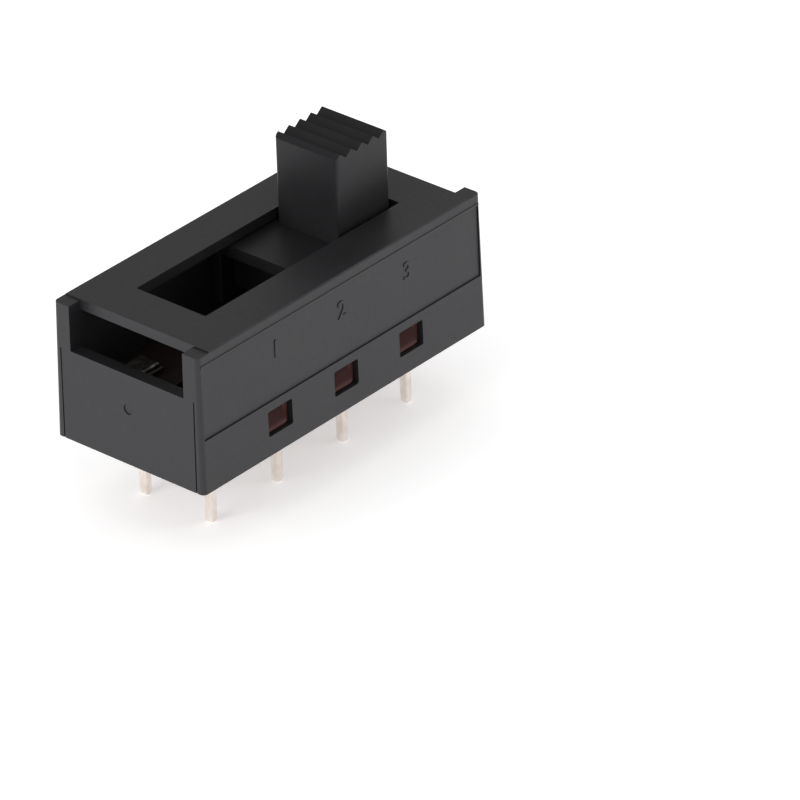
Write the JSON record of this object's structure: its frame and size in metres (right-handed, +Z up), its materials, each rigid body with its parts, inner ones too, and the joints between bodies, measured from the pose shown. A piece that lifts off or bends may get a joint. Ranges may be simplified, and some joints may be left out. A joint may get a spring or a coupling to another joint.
{
  "type": "slide switch",
  "caption": "Slide switch for a circuit board: tall serrated knob in a slotted box cover, latched terminal base and rows of solder pins below.",
  "frame": {"origin": "middle of the terminal base's underside, which is level with the open rim of the housing, midway between the pins", "axes": "+Z up out of the knob, +X along the slot towards the end where the knob rests, -Y out of the side that carries the recessed panel"},
  "size_m": [0.033, 0.015, 0.0246],
  "materials": {
    "black_housing": "fine moulded grain",
    "brown_base": "moulded, slightly dull",
    "black_slider": "fine moulded grain",
    "plated_terminal": "dull silver plating with yellow sheared edges",
    "contact_silver": "satin",
    "bridge_brass": "satin",
    "spring_steel": "plain"
  },
  "bodies": {
    "switch_body": {"housing": "black_housing", "terminal_base": "brown_base", "terminal_1": "plated_terminal", "terminal_2": "plated_terminal", "terminal_3": "plated_terminal", "terminal_4": "plated_terminal", "terminal_5": "plated_terminal", "terminal_6": "plated_terminal", "terminal_7": "plated_terminal", "terminal_8": "plated_terminal", "contact_1": "contact_silver", "contact_2": "contact_silver", "contact_3": "contact_silver", "contact_4": "contact_silver", "contact_5": "contact_silver", "contact_6": "contact_silver", "contact_7": "contact_silver", "contact_8": "contact_silver"},
    "sliding_knob": {"slider": "black_slider", "bridge_front": "bridge_brass", "bridge_rear": "bridge_brass", "moving_contact_1": "contact_silver", "moving_contact_2": "contact_silver", "moving_contact_3": "contact_silver", "moving_contact_4": "contact_silver", "bridge_spring_front": "spring_steel", "bridge_spring_rear": "spring_steel", "detent_spring_front": "spring_steel", "detent_spring_rear": "spring_steel"}
  },
  "joints": [
    {"name": "knob_slide", "type": "slide", "parent": "switch_body", "child": "sliding_knob", "axis": [1, 0, 0], "range_m": [-0.015, 0], "deforming": ["detent_spring_front", "detent_spring_rear"]}
  ]
}
